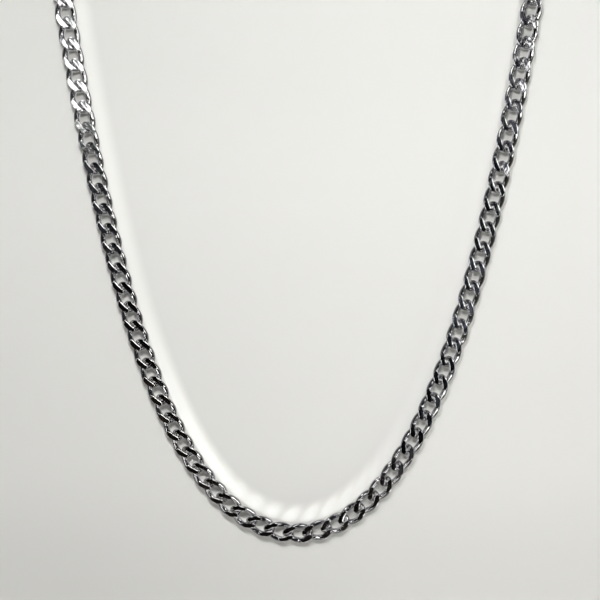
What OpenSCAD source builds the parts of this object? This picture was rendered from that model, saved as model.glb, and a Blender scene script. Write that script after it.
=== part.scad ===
// Curb chain necklace: flat-cut oval links in a hanging loop, closed by a claw clasp.
// Millimetres, +Z up, the front faces -Y, the origin is on the inside edge of the loop's top.

/* [Links] */
// Width of a link over its two sides
link_w = 5.2; // [5.1:0.05:5.5]
// Distance from one link's middle to the next
link_pitch = 5.1; // [5.0:0.05:5.4]
// Diameter of the wire before the faces are cut flat
wire_d = 1.4; // [1.2:0.05:1.4]
// Squareness of a link's outline: 2 is an ellipse, and more is fuller at the corners
link_full = 2.5; // [2.5:0.1:3]
// Distance from the chain's middle to the faces that are cut flat on its front
front_cut = 1.05; // [1:0.05:1.3]
// Turn of a link's end against its middle, about the chain's own line
link_turn = 50; // [48:1:52]
// Play between two links along the chain
link_play = 0.34; // [0.34:0.02:0.4]

/* [Hanging loop] */
// Radius of the curve at the bottom of the hanging loop
hang_r = 21.4; // [18:0.2:26]
// Length of each hanging side, from the bottom link to the round back stretch
hang_len = 151.7; // [120:0.1:180]
// How far the lowest link's middle hangs past the lowest point, towards the right
link_slide = 0.37; // [-1:0.01:1]
// Roll of the right side's links about the chain's own line, which turns their fronts inwards
right_roll = 20; // [0:1:22]

/* [Clasp] */
// Thickness of the clasp in the middle of its body
clasp_t = 2.6; // [2.2:0.1:3.4]
// Diameter of the wire of both jump rings
ring_wire = 1.1; // [0.9:0.05:1.2]
// Inside diameter of the ring between the chain and the clasp's eye
clasp_ring_in = 3.6; // [3.5:0.1:4]
// Inside diameter of the ring that the claw closes on
end_ring_in = 4.4; // [4:0.1:5]

/* [Hidden] */
silver = "#c8cbcf";

// Play between a jump ring and what it holds
ring_play = 0.38;
// Corners of the wire's section
wire_sides = 6;

// Link, seen flat: half the width and half the length of the line through the wire's middle
wire_r = wire_d / 2;
half_w = (link_w - wire_d) / 2;
half_l = (link_pitch + wire_d + link_play) / 2;
// Places on the upper half of the outline where the wire has a section
upper_angles = [8, 35, 63, 90, 117, 145, 172];
section_angles = [each upper_angles, for (a = upper_angles) a + 180];

function unit(v) = v / norm(v);

// A point of the flat outline and the direction of travel there: [across, along, d_across, d_along]
function rounded(v) = sign(v) * pow(abs(v), 2 / link_full);
function steepness(v) = sign(v) * pow(abs(v), link_full - 1);
function station(angle) =
    let (x = rounded(cos(angle)), z = rounded(sin(angle)))
    [half_w * x, half_l * z, -steepness(z) / half_l, steepness(x) / half_w];
stations = [for (a = section_angles) station(a)];

// The outline twisted about the chain's line
function turn_at(q) = link_turn * q[1] / half_l;
function wire_point(q) = let (t = turn_at(q)) [q[0] * cos(t), -q[0] * sin(t), q[1]];
function wire_tangent(q) = let (t = turn_at(q), rate = link_turn * PI / 180 / half_l)
    unit([
        q[2] * cos(t) - q[0] * sin(t) * rate * q[3],
        -q[2] * sin(t) - q[0] * cos(t) * rate * q[3],
        q[3]
    ]);

// One corner of a section: a corner beyond the cut face slides back onto it
function wire_corner(q, angle) =
    let (
        c = wire_point(q),
        t = wire_tangent(q),
        across = unit([t[2], 0, -t[0]]),
        depth = cross(t, across),
        high = -sin(angle) * wire_r,
        room = (front_cut + c[1]) / depth[1],
        cut = high > room,
        h = cut ? room : high,
        w = cut ? sign(cos(angle)) * sqrt(max(wire_r * wire_r - room * room, 0)) : cos(angle) * wire_r
    )
    c + w * across - h * depth;

link_points = [
    for (q = stations) for (j = [0 : wire_sides - 1]) wire_corner(q, j * 360 / wire_sides)
];
// Index of a corner, with both counts running round
function corner_id(i, j) = (i % len(stations)) * wire_sides + j % wire_sides;
link_faces = [
    for (i = [0 : len(stations) - 1]) for (j = [0 : wire_sides - 1]) each [
        [corner_id(i, j), corner_id(i + 1, j + 1), corner_id(i, j + 1)],
        [corner_id(i, j), corner_id(i + 1, j), corner_id(i + 1, j + 1)]
    ]
];

// Loop: a hanging curve from the bottom, then a round arc over the top
function arsinh(v) = ln(v + sqrt(v * v + 1));
join_x = hang_r * arsinh(hang_len / hang_r);
join_z = sqrt(hang_r * hang_r + hang_len * hang_len) - hang_r;
join_heading = atan2(hang_len, hang_r);
arc_r = join_x / sin(join_heading);
arc_z = join_z + arc_r * cos(join_heading);
half_loop = hang_len + arc_r * (180 - join_heading) * PI / 180;
top_z = arc_z + arc_r - link_w / 2;

// Heading of the loop and its place, at a distance from the bottom measured along it
function side_heading(s) = s <= hang_len ? atan2(s, hang_r) : join_heading + (s - hang_len) / arc_r * 180 / PI;
function side_place(s) = s <= hang_len
    ? [hang_r * arsinh(s / hang_r), sqrt(hang_r * hang_r + s * s) - hang_r]
    : [arc_r * sin(side_heading(s)), arc_z - arc_r * cos(side_heading(s))];

// Roll of a link: it grows up the right side, and dies away over the last stretch before the clasp
roll_run = 70;
function eased(v) = let (t = max(0, min(1, v))) t * t * (3 - 2 * t);
function link_roll(s) = -right_roll * eased(s / roll_run) * eased((half_loop - s) / roll_run);

// Clasp: an oval claw, a thick body below its opening, a short shank and an eye
claw_wall = 1.3;
claw_r = 2.3;
claw_straight = 2.2;
body_long = 2.6;
shank_w = 2.6;
shank_min = 0.6;
eye_hole = 2.6;
eye_wall = 1.0;
end_t = 1.2;
clasp_min = 2 * claw_r + claw_straight + body_long + shank_min + eye_wall + eye_hole;
rings_span = clasp_ring_in + end_ring_in - 4 * ring_play;

// Whole links that fit, with what is left over for the rings and the clasp
link_count = floor((2 * half_loop - clasp_min - rings_span) / link_pitch);
last_right = floor(link_count / 2);
last_left = link_count - 1 - last_right;
clasp_ring_s = (last_right + 0.5) * link_pitch + link_slide + clasp_ring_in / 2 - ring_play;
end_ring_s = (last_left + 0.5) * link_pitch - link_slide + end_ring_in / 2 - ring_play;
clasp_from = clasp_ring_s + clasp_ring_in / 2 - ring_play;
clasp_to = 2 * half_loop - end_ring_s - end_ring_in / 2 + ring_play;
clasp_span = clasp_to - clasp_from;
// The straight clasp sits inwards, so that both its ends lie on the arc
clasp_inwards = arc_r * (1 - cos(clasp_span / 2 / arc_r * 180 / PI));

// Turn of the jump rings about the chain's line, across both a link's end and the clasp
ring_turn = 75;
// Width of the block that the side view is cut from, wider than the claw
side_block = 4 * claw_r;

// Puts a piece on the loop, its own +Z along the chain
module on_loop(s) {
    side = s < 0 ? -1 : 1;
    place = side_place(abs(s));
    translate([side * place[0], 0, place[1] - top_z])
        rotate([0, 90 - side * side_heading(abs(s)), 0])
            children();
}

module link() {
    polyhedron(points = link_points, faces = link_faces, convexity = 6);
}

module strand(first, last) {
    for (k = [first : last])
        let (s = k * link_pitch + link_slide)
            on_loop(s) rotate([0, 0, link_roll(s)]) link();
}

module left_strand() {
    color(silver) strand(-last_left, -1);
}

module right_strand() {
    color(silver) strand(0, last_right);
}

module jump_ring(inside) {
    rotate([0, 0, ring_turn])
        rotate([90, 0, 0])
            rotate_extrude($fn = 48)
                translate([(inside + ring_wire) / 2, 0])
                    circle(d = ring_wire, $fn = 24);
}

module clasp_ring() {
    color(silver) on_loop(clasp_ring_s) jump_ring(clasp_ring_in);
}

module end_ring() {
    color(silver) on_loop(-end_ring_s) mirror([1, 0, 0]) jump_ring(end_ring_in);
}

// An upright oval between two heights
module oval(r, low, high) {
    translate([0, low + r]) circle(r = r, $fn = 64);
    translate([-r, low + r]) square([2 * r, high - low - 2 * r]);
    translate([0, high - r]) circle(r = r, $fn = 64);
}

// Flat outline of the clasp: the eye's hole starts at zero and the claw's inside ends at the span
module clasp_outline() {
    mouth_low = clasp_span - 2 * claw_r - claw_straight;
    eye_y = eye_hole / 2;
    difference() {
        union() {
            oval(claw_r + claw_wall, mouth_low - body_long, clasp_span + claw_wall);
            translate([0, eye_y]) circle(r = eye_hole / 2 + eye_wall, $fn = 48);
            translate([-shank_w / 2, eye_y]) square([shank_w, mouth_low - eye_y]);
        }
        oval(claw_r, mouth_low, clasp_span);
        translate([0, eye_y]) circle(d = eye_hole, $fn = 48);
    }
}

// Side view of the clasp: full thickness at the body, thinner at both ends, and longer than the outline
module clasp_side() {
    low = -2 * eye_wall;
    thin_low = eye_hole + eye_wall / 2;
    body_mid = clasp_span - 2 * claw_r - claw_straight - body_long / 2;
    body_low = body_mid - body_long / 4;
    body_high = body_mid + body_long / 4;
    thin_high = clasp_span + claw_wall / 2;
    high = clasp_span + 2 * claw_wall;
    polygon([
        [-end_t / 2, low],
        [end_t / 2, low],
        [end_t / 2, thin_low],
        [clasp_t / 2, body_low],
        [clasp_t / 2, body_high],
        [end_t / 2, thin_high],
        [end_t / 2, high],
        [-end_t / 2, high],
        [-end_t / 2, thin_high],
        [-clasp_t / 2, body_high],
        [-clasp_t / 2, body_low],
        [-end_t / 2, thin_low]
    ]);
}

module clasp() {
    color(silver)
        on_loop((clasp_from + clasp_to) / 2)
            translate([-clasp_inwards, 0, -clasp_span / 2])
                intersection() {
                    rotate([90, 0, 0])
                        linear_extrude(height = clasp_t, center = true)
                            clasp_outline();
                    rotate([90, 0, 90])
                        linear_extrude(height = side_block, center = true)
                            clasp_side();
                }
}

left_strand();
right_strand();
clasp();
clasp_ring();
end_ring();
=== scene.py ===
import math
import random

import bmesh
import bpy
from mathutils import Matrix, Vector


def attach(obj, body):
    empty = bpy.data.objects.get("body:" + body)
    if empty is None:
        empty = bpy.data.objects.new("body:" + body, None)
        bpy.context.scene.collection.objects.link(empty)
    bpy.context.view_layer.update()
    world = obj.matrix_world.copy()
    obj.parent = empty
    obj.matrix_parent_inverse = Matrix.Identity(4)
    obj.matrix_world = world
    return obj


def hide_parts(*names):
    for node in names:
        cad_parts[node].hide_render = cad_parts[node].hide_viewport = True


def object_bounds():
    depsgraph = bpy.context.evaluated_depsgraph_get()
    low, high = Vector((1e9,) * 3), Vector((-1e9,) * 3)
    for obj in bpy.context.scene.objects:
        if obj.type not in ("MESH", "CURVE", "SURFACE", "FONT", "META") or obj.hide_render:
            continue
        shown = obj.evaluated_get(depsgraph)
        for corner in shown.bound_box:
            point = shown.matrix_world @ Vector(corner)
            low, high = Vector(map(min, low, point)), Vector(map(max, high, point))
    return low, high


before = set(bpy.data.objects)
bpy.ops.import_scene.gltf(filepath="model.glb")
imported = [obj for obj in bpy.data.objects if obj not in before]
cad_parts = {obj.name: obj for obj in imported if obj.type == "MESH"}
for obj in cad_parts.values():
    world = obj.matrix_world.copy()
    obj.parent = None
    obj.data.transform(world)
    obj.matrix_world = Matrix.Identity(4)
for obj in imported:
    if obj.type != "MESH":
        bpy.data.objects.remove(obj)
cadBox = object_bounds()
mm = 0.001

# the hanging loop: a hanging curve from its lowest point, then a round arc over the top
loop = {
    "bottomRadius": 21.4 * mm,
    "sideLength": 151.7 * mm,
    "linkWidth": 5.2 * mm,
    "pitch": 5.1 * mm,
    "slide": 0.37 * mm,
    "leftLinks": 46,
    "rightLinks": 48,
    "rightRoll": math.radians(20),
    "rollRun": 70 * mm,
}
joinX = loop["bottomRadius"] * math.asinh(loop["sideLength"] / loop["bottomRadius"])
joinZ = math.hypot(loop["bottomRadius"], loop["sideLength"]) - loop["bottomRadius"]
joinHeading = math.atan2(loop["sideLength"], loop["bottomRadius"])
arcRadius = joinX / math.sin(joinHeading)
arcZ = joinZ + arcRadius * math.cos(joinHeading)
halfLoop = loop["sideLength"] + arcRadius * (math.pi - joinHeading)
topZ = arcZ + arcRadius - loop["linkWidth"] / 2


def loopPlace(s):
    # the turn and place of a piece at a distance from the lowest point, its own +Z along the chain
    side = -1 if s < 0 else 1
    run = abs(s)
    if run <= loop["sideLength"]:
        heading = math.atan2(run, loop["bottomRadius"])
        x = loop["bottomRadius"] * math.asinh(run / loop["bottomRadius"])
        z = math.hypot(loop["bottomRadius"], run) - loop["bottomRadius"]
    else:
        heading = joinHeading + (run - loop["sideLength"]) / arcRadius
        x = arcRadius * math.sin(heading)
        z = arcZ - arcRadius * math.cos(heading)
    turn = Matrix.Rotation(math.pi / 2 - side * heading, 4, "Y")
    return Matrix.Translation((side * x, 0, z - topZ)) @ turn


def eased(value):
    t = max(0, min(1, value))
    return t * t * (3 - 2 * t)


def linkRoll(s):
    # the right side's links turn their fronts a little inwards
    return -loop["rightRoll"] * eased(s / loop["rollRun"]) * eased((halfLoop - s) / loop["rollRun"])


def addObject(name, data):
    obj = bpy.data.objects.new(name, data)
    bpy.context.scene.collection.objects.link(obj)
    return obj


def splitNgons(bm):
    # faces of more than four sides are cut into triangles
    bmesh.ops.triangulate(bm, faces=[f for f in bm.faces if len(f.verts) > 4])


def sortByPlace(bm):
    # operators may leave what they make in a different order each run, and later ones work in that order
    for elements in (bm.verts, bm.edges, bm.faces):
        corners = {}
        for e in elements:
            corners[e] = sorted(tuple(round(c / mm, 4) for c in v.co.zxy) for v in getattr(e, "verts", [e]))
        ranks = {e: rank for rank, e in enumerate(sorted(corners, key=corners.get))}
        elements.sort(key=ranks.get)
        elements.index_update()


def makeMesh(name, bm, *materials):
    mesh = bpy.data.meshes.new(name)
    bm.to_mesh(mesh)
    bm.free()
    for material in materials:
        mesh.materials.append(material)
    return mesh


# camera, at the photo's angle
shot = {
    "aim": Vector((0.733 * mm, 0, -132.65 * mm)),
    "away": 172.3 * mm,
    "above": math.radians(5.76),
    "aside": math.radians(-0.04),
    "roll": math.radians(0.18),
    "fieldOfView": math.radians(48),
    "sensorWidth": 36,
    "clipStart": 5 * mm,
}


def makeCamera():
    above = shot["above"]
    aside = shot["aside"]
    back = Vector((-math.sin(aside) * math.cos(above), -math.cos(aside) * math.cos(above), math.sin(above)))
    data = bpy.data.cameras.new("photoCamera")
    data.sensor_width = shot["sensorWidth"]
    data.lens = data.sensor_width / 2 / math.tan(shot["fieldOfView"] / 2)
    data.clip_start = shot["clipStart"]
    camera = addObject("photoCamera", data)
    camera.location = shot["aim"] + back * shot["away"]
    camera.rotation_mode = "QUATERNION"
    look = (-back).to_track_quat("-Z", "Y").to_matrix()
    camera.rotation_quaternion = (look @ Matrix.Rotation(shot["roll"], 3, "Z")).to_quaternion()
    bpy.context.scene.camera = camera
    print("camera at", [round(c / mm, 1) for c in camera.location], "mm")


def addNode(tree, kind, **values):
    node = tree.nodes.new(kind)
    for name, value in values.items():
        setattr(node, name, value)
    return node


def feed(tree, node, values):
    # by the socket's name or number: an output is linked to it, and a plain value is set on it
    for socket, value in values.items():
        if isinstance(value, bpy.types.NodeSocket):
            tree.links.new(value, node.inputs[socket])
        elif value is not None:
            node.inputs[socket].default_value = value


def mathNode(tree, operation, a, b=None, c=None, clamp=False):
    node = addNode(tree, "ShaderNodeMath", operation=operation, use_clamp=clamp)
    feed(tree, node, {0: a, 1: b, 2: c})
    return node.outputs[0]


def rangeNode(tree, value, fromMin, fromMax, toMin=0, toMax=1, interpolation="SMOOTHSTEP"):
    node = addNode(tree, "ShaderNodeMapRange", interpolation_type=interpolation)
    limits = {"From Min": fromMin, "From Max": fromMax, "To Min": toMin, "To Max": toMax}
    feed(tree, node, {"Value": value, **limits})
    return node.outputs["Result"]


def rampNode(tree, value, stops):
    # a new ramp has two elements, which become its first and last stop
    node = addNode(tree, "ShaderNodeValToRGB")
    tree.links.new(value, node.inputs["Fac"])
    for element, (place, colour) in zip(node.color_ramp.elements, (stops[0], stops[-1])):
        element.position = place
        element.color = (*colour, 1)
    for place, colour in stops[1:-1]:
        node.color_ramp.elements.new(place).color = (*colour, 1)
    return node.outputs["Color"]


def noiseNode(tree, place, scale, detail):
    node = addNode(tree, "ShaderNodeTexNoise")
    feed(tree, node, {"Vector": place, "Scale": scale, "Detail": detail})
    return node.outputs["Fac"]


def splitNode(tree, place):
    node = addNode(tree, "ShaderNodeSeparateXYZ")
    tree.links.new(place, node.inputs[0])
    return node.outputs


def scaleNode(tree, colour, share):
    node = addNode(tree, "ShaderNodeVectorMath", operation="SCALE")
    feed(tree, node, {0: colour, "Scale": share})
    return node.outputs[0]


def mixColours(tree, share, a, b):
    node = addNode(tree, "ShaderNodeMix", data_type="RGBA")
    feed(tree, node, {"Factor": share, "A": a, "B": b})
    return node.outputs["Result"]


def mixShaders(tree, share, a, b):
    node = addNode(tree, "ShaderNodeMixShader")
    feed(tree, node, {0: share, 1: a, 2: b})
    return node.outputs[0]


# one link: round wire bent to a full oval, twisted about the chain's line, its front cut flat
link = {
    "wire": 1.4 * mm,
    "full": 2.5,
    "turn": math.radians(50),
    "play": 0.34 * mm,
    "frontFace": 1.05 * mm,
    "sections": 28,
    "wireSides": 16,
    "edge": ((0.035 * mm, 0.040 * mm), (0.060 * mm, 0.030 * mm), (0.085 * mm, 0.015 * mm)),
    "speck": 0.015 * mm,
    "weld": 0.0014 * mm,
    "snap": 0.00014 * mm,
    "wireSlot": 0,
    "cutSlot": 1,
}
halfWidth = (loop["linkWidth"] - link["wire"]) / 2
halfLength = (loop["pitch"] + link["wire"] + link["play"]) / 2


def power(value, exponent):
    return math.copysign(abs(value) ** exponent, value)


def wireSection(turn):
    # the place and direction of the wire's section at a turn round the twisted outline
    x = power(math.cos(turn), 2 / link["full"])
    z = power(math.sin(turn), 2 / link["full"])
    travelX = -power(z, link["full"] - 1) / halfLength
    travelZ = power(x, link["full"] - 1) / halfWidth
    twist = Matrix.Rotation(-link["turn"] * z, 3, "Z")
    place = twist @ Vector((x * halfWidth, 0, 0)) + Vector((0, 0, z * halfLength))
    sideways = twist @ Vector((0, -1, 0)) * x * halfWidth * link["turn"] / halfLength * travelZ
    along = (twist @ Vector((travelX, 0, 0)) + Vector((0, 0, travelZ)) + sideways).normalized()
    across = Vector((along.z, 0, -along.x)).normalized()
    turned = Matrix((across, along.cross(across), along)).transposed()
    return Matrix.Translation(place) @ turned.to_4x4()


def sweepWire(bm):
    # the wire's round section carried once round the outline, and closed on itself
    turns = [(i + 0.5) * 2 * math.pi / link["sections"] for i in range(link["sections"] + 1)]
    here = wireSection(turns[0])
    bmesh.ops.create_circle(bm, segments=link["wireSides"], radius=link["wire"] / 2, matrix=here)
    edges = bm.edges[:]
    for turn in turns[1:]:
        there = wireSection(turn)
        made = bmesh.ops.extrude_edge_only(bm, edges=edges)["geom"]
        edges = [g for g in made if isinstance(g, bmesh.types.BMEdge)]
        verts = [g for g in made if isinstance(g, bmesh.types.BMVert)]
        bmesh.ops.transform(bm, matrix=there @ here.inverted(), verts=verts)
        here = there
    bmesh.ops.remove_doubles(bm, verts=bm.verts, dist=link["weld"])
    sortByPlace(bm)
    bmesh.ops.recalc_face_normals(bm, faces=bm.faces)


def cutFront(bm):
    # the wire beyond the front plane is taken off, and each cut face keeps a softly rounded edge
    low = link["frontFace"] - sum(rise for inwards, rise in link["edge"])
    everything = bm.verts[:] + bm.edges[:] + bm.faces[:]
    cut = bmesh.ops.bisect_plane(bm, geom=everything, dist=link["snap"], plane_co=(0, -low, 0),
                                 plane_no=(0, -1, 0), clear_outer=True)["geom_cut"]
    cutEdges = [g for g in cut if isinstance(g, bmesh.types.BMEdge)]
    bmesh.ops.dissolve_degenerate(bm, edges=cutEdges, dist=link["speck"])
    sortByPlace(bm)
    rims = [e for e in bm.edges if e.is_boundary]
    caps = bmesh.ops.holes_fill(bm, edges=rims, sides=0)["faces"]
    bmesh.ops.recalc_face_normals(bm, faces=bm.faces)
    edgeFaces = []
    for inwards, rise in link["edge"]:
        made = bmesh.ops.inset_region(bm, faces=caps, thickness=inwards, depth=rise, use_even_offset=True)
        edgeFaces += made["faces"]
    return caps, edgeFaces


def linkMesh():
    bm = bmesh.new()
    sweepWire(bm)
    caps, edgeFaces = cutFront(bm)
    for f in bm.faces:
        f.smooth = True
        f.material_index = link["wireSlot"]
    for f in caps + edgeFaces:
        f.material_index = link["cutSlot"]
    for e in {e for f in caps for e in f.edges}:
        e.smooth = False
    splitNgons(bm)
    sortByPlace(bm)
    mesh = makeMesh("oneLink", bm)
    print("link:", len(mesh.polygons), "faces,", len(caps), "cut faces")
    return mesh


# how unevenly the links hang
hang = {"turn": math.radians(0.4), "nod": math.radians(0.5), "seed": 7}


def strand(name, first, last, mesh, node, materials):
    rng = random.Random(hang["seed"] + first)
    bm = bmesh.new()
    tone = bm.verts.layers.float.new("linkTone")
    for k in range(first, last + 1):
        before = len(bm.verts)
        bm.from_mesh(mesh)
        bm.verts.ensure_lookup_table()
        new = bm.verts[before:]
        turned = Matrix.Rotation(rng.gauss(0, hang["turn"]), 4, "Z")
        loose = turned @ Matrix.Rotation(rng.gauss(0, hang["nod"]), 4, "X")
        s = k * loop["pitch"] + loop["slide"]
        rolled = Matrix.Rotation(linkRoll(s), 4, "Z")
        bmesh.ops.transform(bm, matrix=loopPlace(s) @ rolled @ loose, verts=new)
        shade = rng.random()
        for v in new:
            v[tone] = shade
    piece = addObject(name, makeMesh(name, bm, *materials))
    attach(piece, "root")
    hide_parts(node)
    print(name, last - first + 1, "links,", len(piece.data.polygons), "faces")


# the polish: waves and scratches make its height, and clouds, scratches and each link's tone its haze
polishing = {
    "waveDetail": 1,
    "scratchDetail": 2,
    "cloudDetail": 3,
    "cloudScale": 0.6,
    "toneShare": 0.2,
    "cloudy": (0.45, 0.8),
    "scratchShare": 0.5,
    "strength": 0.8,
}


def polishGroup():
    group = bpy.data.node_groups.new("polish", "ShaderNodeTree")
    group.interface.new_socket("Place", in_out="INPUT", socket_type="NodeSocketVector")
    for name in ("Wave Scale", "Scratch Scale", "Scratch Share", "Tone"):
        group.interface.new_socket(name, in_out="INPUT", socket_type="NodeSocketFloat")
    group.interface.new_socket("Stretch", in_out="INPUT", socket_type="NodeSocketVector")
    for name in ("Height", "Haze"):
        group.interface.new_socket(name, in_out="OUTPUT", socket_type="NodeSocketFloat")
    given = addNode(group, "NodeGroupInput").outputs
    stretched = addNode(group, "ShaderNodeVectorMath", operation="MULTIPLY")
    feed(group, stretched, {0: given["Place"], 1: given["Stretch"]})
    wave = noiseNode(group, given["Place"], given["Wave Scale"], polishing["waveDetail"])
    scratch = noiseNode(group, stretched.outputs[0], given["Scratch Scale"], polishing["scratchDetail"])
    height = mathNode(group, "ADD", wave, mathNode(group, "MULTIPLY", scratch, given["Scratch Share"]))
    cloudScale = mathNode(group, "MULTIPLY", given["Wave Scale"], polishing["cloudScale"])
    cloud = noiseNode(group, given["Place"], cloudScale, polishing["cloudDetail"])
    toned = mathNode(group, "MULTIPLY", given["Tone"], polishing["toneShare"])
    spread = rangeNode(group, mathNode(group, "ADD", cloud, toned), *polishing["cloudy"])
    fine = mathNode(group, "MULTIPLY_ADD", scratch, polishing["scratchShare"], spread)
    haze = mathNode(group, "MULTIPLY", fine, polishing["strength"], clamp=True)
    feed(group, addNode(group, "NodeGroupOutput"), {"Height": height, "Haze": haze})
    return group


# polished silver-coloured metal: a faint waviness, fine scratches and a light haze
finishes = {
    "polishedWire": {
        "bright": (0.87, 0.87, 0.88), "dull": (0.78, 0.775, 0.77), "smooth": 0.02, "hazy": 0.055,
        "waveSize": 0.9 * mm, "scratchSize": 0.05 * mm, "stretch": (1, 1, 1), "share": 0.06,
        "relief": 0.02 * mm,
    },
    "cutFace": {
        "bright": (0.90, 0.90, 0.91), "dull": (0.82, 0.82, 0.82), "smooth": 0.03, "hazy": 0.09,
        "waveSize": 1.3 * mm, "scratchSize": 0.06 * mm, "stretch": (1, 1, 0.08), "share": 0.03,
        "relief": 0.022 * mm,
    },
    "castMetal": {
        "bright": (0.84, 0.84, 0.85), "dull": (0.74, 0.735, 0.73), "smooth": 0.09, "hazy": 0.22,
        "waveSize": 1.6 * mm, "scratchSize": 0.07 * mm, "stretch": (1, 1, 0.3), "share": 0.10,
        "relief": 0.020 * mm,
    },
}


def metal(name, polish):
    values = finishes[name]
    material = bpy.data.materials.new(name)
    material.use_nodes = True
    tree = material.node_tree
    group = addNode(tree, "ShaderNodeGroup", node_tree=polish)
    feed(tree, group, {
        "Place": addNode(tree, "ShaderNodeTexCoord").outputs["Object"],
        "Wave Scale": 1 / values["waveSize"],
        "Scratch Scale": 1 / values["scratchSize"],
        "Scratch Share": values["share"],
        "Tone": addNode(tree, "ShaderNodeAttribute", attribute_name="linkTone").outputs["Fac"],
        "Stretch": values["stretch"],
    })
    haze = group.outputs["Haze"]
    bump = addNode(tree, "ShaderNodeBump")
    feed(tree, bump, {"Distance": values["relief"], "Height": group.outputs["Height"]})
    feed(tree, tree.nodes["Principled BSDF"], {
        "Metallic": 1,
        "Base Color": mixColours(tree, haze, (*values["bright"], 1), (*values["dull"], 1)),
        "Roughness": rangeNode(tree, haze, 0, 1, values["smooth"], values["hazy"], "LINEAR"),
        "Normal": bump.outputs["Normal"],
    })
    print("metal:", name)
    return material


# the clasp: its cast edges are rounded
clasp = {
    "edgeRound": 0.28 * mm,
    "steps": 3,
    "crease": math.radians(25),
    "flat": math.radians(2),
    "weld": 0.0028 * mm,
}


def sharpEdges(bm):
    return [e for e in bm.edges if len(e.link_faces) == 2 and e.calc_face_angle() > clasp["crease"]]


def claspPiece(material):
    bm = bmesh.new()
    bm.from_mesh(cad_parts["clasp"].data)
    bmesh.ops.remove_doubles(bm, verts=bm.verts, dist=clasp["weld"])
    bmesh.ops.dissolve_limit(bm, angle_limit=clasp["flat"], verts=bm.verts, edges=bm.edges)
    sortByPlace(bm)
    bmesh.ops.bevel(bm, geom=sharpEdges(bm), offset=clasp["edgeRound"], offset_type="OFFSET",
                    segments=clasp["steps"], profile=0.5, affect="EDGES", clamp_overlap=True, material=-1)
    splitNgons(bm)
    bmesh.ops.recalc_face_normals(bm, faces=bm.faces)
    for f in bm.faces:
        f.smooth = True
        f.material_index = 0
    for e in sharpEdges(bm):
        e.smooth = False
    sortByPlace(bm)
    piece = addObject("roundedClasp", makeMesh("roundedClasp", bm, material))
    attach(piece, "root")
    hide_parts("clasp")
    print("clasp:", len(piece.data.polygons), "faces")


# painted glow: the paper glows inside the loop, standing in for light that the polished links throw back on
# it
# each fade is where it begins and where it ends, and its share at either place
paintedGlow = {
    "colour": (1, 1, 0.97),
    "strength": 0.48,
    "inwards": ((1.6 * mm, 2.7 * mm, 0, 1), (3.4 * mm, 8.0 * mm, 1, 0)),
    "upwards": ((5 * mm, 70 * mm, 1, 0.3), (142 * mm, 170 * mm, 1, 0)),
    "rightwards": (4 * mm, 30 * mm, 1, 0.15),
    "beadDepth": (0, 30 * mm, 0.30, 0),
    "beadSlant": 0.6,
}


def paintedGlowLight(tree):
    # painted glow: how brightly the paper glows at each place
    # the distance inside the hanging curve, from the height above it and its slope
    place = splitNode(tree, addNode(tree, "ShaderNodeTexCoord").outputs["Object"])
    a = loop["bottomRadius"]
    turned = mathNode(tree, "DIVIDE", place["X"], a)
    coshTurned = mathNode(tree, "COSH", turned)
    curve = mathNode(tree, "MULTIPLY_ADD", coshTurned, a, -a - topZ)
    inside = mathNode(tree, "DIVIDE", mathNode(tree, "SUBTRACT", place["Z"], curve), coshTurned)
    # a wave with one bead for each link, slanting as it goes inwards
    along = mathNode(tree, "DIVIDE", mathNode(tree, "SINH", turned), loop["pitch"] / a)
    lag = mathNode(tree, "MULTIPLY", inside, paintedGlow["beadSlant"] / loop["pitch"])
    phase = mathNode(tree, "MULTIPLY", mathNode(tree, "SUBTRACT", along, lag), 2 * math.pi)
    depth = rangeNode(tree, mathNode(tree, "ABSOLUTE", place["X"]), *paintedGlow["beadDepth"])
    rest = mathNode(tree, "SUBTRACT", 1, depth)
    light = mathNode(tree, "MULTIPLY_ADD", mathNode(tree, "SINE", phase), depth, rest)
    height = mathNode(tree, "ADD", place["Z"], topZ)
    fades = [(inside, fade) for fade in paintedGlow["inwards"]]
    fades += [(height, fade) for fade in paintedGlow["upwards"]]
    fades += [(place["X"], paintedGlow["rightwards"])]
    for distance, fade in fades:
        light = mathNode(tree, "MULTIPLY", light, rangeNode(tree, distance, *fade))
    return light


# the backdrop's paper: painted shade leans its tone over its width and height, and painted shade makes it
# darker where the metal mirrors it
paper = {
    "tone": (0.87, 0.865, 0.845),
    # painted shade: the sheet as the metal mirrors it is much darker, for the shade close behind the links
    "mirroredShadeTone": (0.17, 0.17, 0.168),
    # painted shade: the sheet's tone darkens to the left, towards the bottom and at the top
    "paintedShadeLeans": [
        ("X", -75 * mm, 75 * mm, 0.90, 1.04),
        ("Z", -205 * mm, -60 * mm, 0.92, 1.01),
        ("Z", -212 * mm, -172 * mm, 0.90, 1),
        ("Z", -110 * mm, -60 * mm, 1, 0.95),
    ],
    "roughness": 0.9,
    "specular": 0.1,
    "fadeFrom": 340 * mm,
    "squarely": (0.10, 0.28, 1, 0),
}


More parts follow.
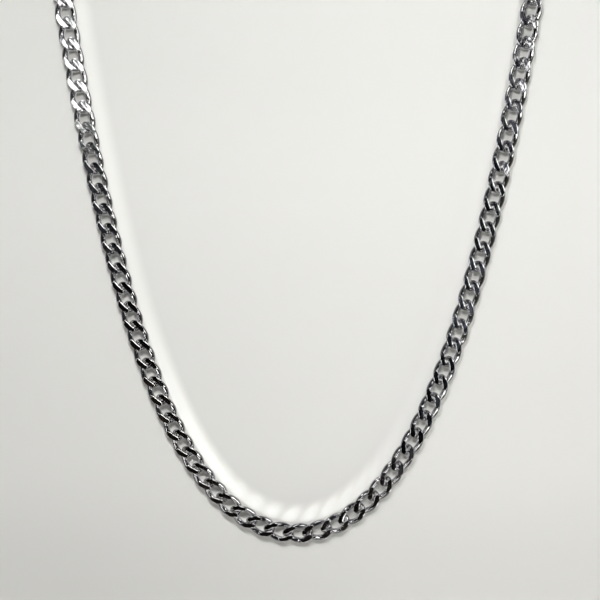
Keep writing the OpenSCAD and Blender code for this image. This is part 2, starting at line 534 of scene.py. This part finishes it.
def makePaper():
    material = bpy.data.materials.new("palePaper")
    material.use_nodes = True
    tree = material.node_tree
    mirrored = addNode(tree, "ShaderNodeLightPath").outputs["Is Glossy Ray"]
    place = splitNode(tree, addNode(tree, "ShaderNodeTexCoord").outputs["Object"])
    # painted shade over the sheet's width and height, multiplied into its colour
    paintedShading = 1
    for axis, *lean in paper["paintedShadeLeans"]:
        paintedShading = mathNode(tree, "MULTIPLY", rangeNode(tree, place[axis], *lean), paintedShading)
    # painted shade: glossy rays see the sheet in the darker mirrored tone
    tone = mixColours(tree, mirrored, (*paper["tone"], 1), (*paper["mirroredShadeTone"], 1))
    shader = tree.nodes["Principled BSDF"]
    feed(tree, shader, {
        "Base Color": scaleNode(tree, tone, paintedShading),
        "Roughness": paper["roughness"],
        "Specular IOR Level": paper["specular"],
        # painted glow on the paper, standing in for light thrown back by the links
        "Emission Color": (*paintedGlow["colour"], 1),
        "Emission Strength": mathNode(tree, "MULTIPLY", paintedGlowLight(tree), paintedGlow["strength"]),
    })
    # seen from the back the paper is clear, and far out the floor fades away
    geometry = addNode(tree, "ShaderNodeNewGeometry").outputs
    level = addNode(tree, "ShaderNodeVectorMath", operation="MULTIPLY")
    feed(tree, level, {0: geometry["Position"], 1: (1, 1, 0)})
    distance = addNode(tree, "ShaderNodeVectorMath", operation="LENGTH")
    tree.links.new(level.outputs[0], distance.inputs[0])
    far = rangeNode(tree, distance.outputs["Value"], paper["fadeFrom"], room["floorHalf"])
    clearest = mathNode(tree, "MAXIMUM", geometry["Backfacing"], far)
    # the links' backs, which face the paper squarely, mirror the room behind it
    facing = addNode(tree, "ShaderNodeLayerWeight").outputs["Facing"]
    through = mathNode(tree, "MULTIPLY", rangeNode(tree, facing, *paper["squarely"]), mirrored)
    share = mathNode(tree, "MAXIMUM", clearest, through)
    clear = addNode(tree, "ShaderNodeBsdfTransparent")
    surface = mixShaders(tree, share, shader.outputs[0], clear.outputs[0])
    tree.links.new(surface, tree.nodes["Material Output"].inputs["Surface"])
    return material


# backdrop and floor: the sheet stands close behind the links, and bends back above what the camera sees
room = {
    "wallY": 2.08 * mm,
    "wallHalf": 320 * mm,
    "bendZ": -45 * mm,
    "bendRadius": 150 * mm,
    "bendAngle": math.radians(80),
    "bendSteps": 24,
    "floorDrop": 40 * mm,
    "floorHalf": 720 * mm,
}


def makeRoom():
    material = makePaper()
    floorZ = cadBox[0].z - room["floorDrop"]
    wallY = room["wallY"]
    half = room["wallHalf"]
    bm = bmesh.new()
    low = [bm.verts.new((-half, wallY, floorZ)), bm.verts.new((half, wallY, floorZ))]
    made = bmesh.ops.extrude_edge_only(bm, edges=[bm.edges.new(low)])["geom"]
    verts = [g for g in made if isinstance(g, bmesh.types.BMVert)]
    edge = [g for g in made if isinstance(g, bmesh.types.BMEdge)]
    bmesh.ops.translate(bm, verts=verts, vec=(0, 0, room["bendZ"] - floorZ))
    centre = (0, wallY + room["bendRadius"], room["bendZ"])
    bmesh.ops.spin(bm, geom=edge, cent=centre, axis=(-1, 0, 0), angle=room["bendAngle"],
                   steps=room["bendSteps"], use_merge=False)
    for f in bm.faces:
        f.smooth = True
        if f.normal.y > 0:
            f.normal_flip()
    wall = addObject("backdrop", makeMesh("backdrop", bm, material))
    wall.visible_shadow = False
    bm = bmesh.new()
    flat = Matrix.Translation((0, 0, floorZ))
    bmesh.ops.create_grid(bm, x_segments=1, y_segments=1, size=room["floorHalf"], matrix=flat)
    floor = addObject("floor", makeMesh("floor", bm, material))
    floor.visible_glossy = False
    print("backdrop", round(wallY / mm, 2), "mm behind the loop's middle")


# what the polished metal mirrors: panels of the room, each with its middle, to the side and up, and
# its half width and half height, in degrees as seen from the chain
white = (1, 1, 1)
softWhite = (1, 1, 0.98)
warmWhite = (1, 0.99, 0.97)
paleGreen = (0.9, 1, 0.93)
panels = [
    {"middle": (-14.8, 20), "half": (4.6, 11), "soft": 1.8, "colour": white, "strength": 2.2},
    {"middle": (-15, 7.6), "half": (3, 0.3), "soft": 1.7, "colour": paleGreen, "strength": 0.3},
    {"middle": (14, 21), "half": (8, 6), "soft": 4, "colour": softWhite, "strength": 5},
    {"middle": (52, 22), "half": (3, 3), "soft": 2, "colour": white, "strength": 4},
    {"middle": (68, -4), "half": (1.5, 16), "soft": 2, "colour": white, "strength": 8},
    {"middle": (-52, -2), "half": (0.7, 14), "soft": 1.5, "colour": white, "strength": 7},
    {"middle": (60, 68), "half": (35, 1), "soft": 2, "colour": white, "strength": 5},
    {"middle": (-65, 66), "half": (30, 1), "soft": 2, "colour": white, "strength": 3.5},
    {"middle": (27, -29), "half": (12, 0.7), "soft": 2, "colour": warmWhite, "strength": 7},
    {"middle": (-42, -50), "half": (14, 1), "soft": 2, "colour": white, "strength": 3.5},
    {"middle": (10, -57), "half": (30, 0.7), "soft": 2, "colour": white, "strength": 5},
]
# dimmer parts, which the clutter breaks up
coolTint = (0.85, 0.90, 1.20)
warmTint = (1.25, 1, 0.90)
tints = [
    {"middle": (-24, 12), "half": (2.5, 7), "soft": 3, "colour": coolTint, "strength": 0.04},
    {"middle": (-14, -20), "half": (16, 4), "soft": 6, "colour": warmTint, "strength": 0.02},
]
panelSockets = ("Middle Aside", "Middle Up", "Half Wide", "Half High", "Soft")


def roomPanelGroup():
    group = bpy.data.node_groups.new("roomPanel", "ShaderNodeTree")
    for name in ("Aside", "Up", *panelSockets):
        group.interface.new_socket(name, in_out="INPUT", socket_type="NodeSocketFloat")
    group.interface.new_socket("Mask", in_out="OUTPUT", socket_type="NodeSocketFloat")
    given = addNode(group, "NodeGroupInput").outputs

    def band(value, middle, half):
        off = mathNode(group, "ABSOLUTE", mathNode(group, "SUBTRACT", value, middle))
        return rangeNode(group, off, half, mathNode(group, "ADD", half, given["Soft"]), 1, 0)

    wide = band(given["Aside"], given["Middle Aside"], given["Half Wide"])
    high = band(given["Up"], given["Middle Up"], given["Half High"])
    feed(group, addNode(group, "NodeGroupOutput"), {"Mask": mathNode(group, "MULTIPLY", wide, high)})
    return group


# the dark room round the panels, from straight down to straight up, and how its clutter dims or lifts it
darkness = {
    "colours": [
        (0.2, (0.035, 0.034, 0.033)),
        (0.33, (0.012, 0.009, 0.008)),
        (0.5, (0.014, 0.015, 0.018)),
        (0.9, (0.03, 0.03, 0.035)),
    ],
    "clutterScale": 7,
    "clutterDetail": 3,
    "clutter": (0.48, 0.62, 0.25, 2.6),
}
# the room behind the sheet is brighter, for the views from the back: its greys, from straight down to
# straight up, and how far backwards a direction points where they begin and where they alone are left
behindRoom = {
    "greys": [
        (0.08, 0.15), (0.28, 0.70), (0.42, 0.55), (0.49, 0.06), (0.58, 0.95), (0.80, 0.75), (0.95, 0.12),
    ],
    "backwards": (0.1, 0.45),
}
# what the camera sees beyond the paper, and the soft light that fills the shadows
surroundings = {"farTone": (0.74, 0.74, 0.72), "softTone": (0.80, 0.80, 0.79), "softStrength": 0.09}


def mirroredRoom(tree):
    direction = addNode(tree, "ShaderNodeTexCoord").outputs["Generated"]
    part = splitNode(tree, direction)
    toward = mathNode(tree, "MULTIPLY", part["Y"], -1)
    aside = mathNode(tree, "MULTIPLY", mathNode(tree, "ARCTAN2", part["X"], toward), 180 / math.pi)
    up = mathNode(tree, "MULTIPLY", mathNode(tree, "ARCSINE", part["Z"]), 180 / math.pi)
    height = mathNode(tree, "MULTIPLY_ADD", part["Z"], 0.5, 0.5)
    group = roomPanelGroup()

    def withPanels(seen, rows):
        for row in rows:
            node = addNode(tree, "ShaderNodeGroup", node_tree=group)
            measures = dict(zip(panelSockets, (*row["middle"], *row["half"], row["soft"])))
            feed(tree, node, {"Aside": aside, "Up": up, **measures})
            colour = (*[c * row["strength"] for c in row["colour"]], 1)
            seen = mixColours(tree, node.outputs["Mask"], seen, colour)
        return seen

    dark = withPanels(rampNode(tree, height, darkness["colours"]), tints)
    clutter = noiseNode(tree, direction, darkness["clutterScale"], darkness["clutterDetail"])
    patchy = scaleNode(tree, dark, rangeNode(tree, clutter, *darkness["clutter"]))
    front = withPanels(patchy, panels)
    greys = rampNode(tree, height, [(place, (grey, grey, grey)) for place, grey in behindRoom["greys"]])
    return mixColours(tree, rangeNode(tree, part["Y"], *behindRoom["backwards"]), front, greys)


def makeWorld():
    world = bpy.data.worlds.new("room")
    bpy.context.scene.world = world
    world.use_nodes = True
    tree = world.node_tree
    tree.nodes.clear()

    def background(colour, strength=1):
        node = addNode(tree, "ShaderNodeBackground")
        feed(tree, node, {"Color": colour, "Strength": strength})
        return node.outputs[0]

    ray = addNode(tree, "ShaderNodeLightPath").outputs
    soft = background((*surroundings["softTone"], 1), surroundings["softStrength"])
    light = mixShaders(tree, ray["Is Glossy Ray"], soft, background(mirroredRoom(tree)))
    seen = mixShaders(tree, ray["Is Camera Ray"], light, background((*surroundings["farTone"], 1)))
    tree.links.new(seen, addNode(tree, "ShaderNodeOutputWorld").inputs["Surface"])
    print("room:", len(panels + tints), "panels for the metal to mirror")


# the lens lamp keeps its brightness over the whole sheet, and the other two are plain soft discs
lampColour = (1, 1, 0.98)
lamps = {
    "lensLamp": {"place": (-14 * mm, -140 * mm, -52 * mm), "size": 30 * mm, "power": 18.2, "even": True},
    "highLamp": {"place": (60 * mm, -420 * mm, 190 * mm), "size": 90 * mm, "power": 0.98, "even": False},
    "backLamp": {"place": (0, 500 * mm, 250 * mm), "size": 400 * mm, "power": 3.0, "even": False},
}


def makeLamps():
    for name, lamp in lamps.items():
        data = bpy.data.lights.new(name, "POINT" if lamp["even"] else "AREA")
        data.energy = lamp["power"]
        data.color = lampColour
        if lamp["even"]:
            data.shadow_soft_size = lamp["size"] / 2
            data.use_nodes = True
            tree = data.node_tree
            falloff = addNode(tree, "ShaderNodeLightFalloff")
            falloff.inputs["Strength"].default_value = 1
            tree.links.new(falloff.outputs["Constant"], tree.nodes["Emission"].inputs["Strength"])
        else:
            data.shape = "DISK"
            data.size = lamp["size"]
        obj = addObject(name, data)
        obj.location = lamp["place"]
        obj.rotation_mode = "QUATERNION"
        obj.rotation_quaternion = (shot["aim"] - obj.location).to_track_quat("-Z", "Y")
        obj.visible_camera = False
        obj.visible_glossy = False
    print("lamps:", len(lamps))


makeCamera()
makeRoom()
makeWorld()
makeLamps()
polish = polishGroup()
wire = metal("polishedWire", polish)
cutFace = metal("cutFace", polish)
castMetal = metal("castMetal", polish)
oneLink = linkMesh()
strand("leftStrandLinks", -loop["leftLinks"], -1, oneLink, "left_strand", (wire, cutFace))
strand("rightStrandLinks", 0, loop["rightLinks"] - 1, oneLink, "right_strand", (wire, cutFace))
claspPiece(castMetal)
for name in ("clasp_ring", "end_ring"):
    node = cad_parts[name]
    node.data.materials.clear()
    node.data.materials.append(wire)
bpy.context.scene.view_settings.view_transform = "Standard"
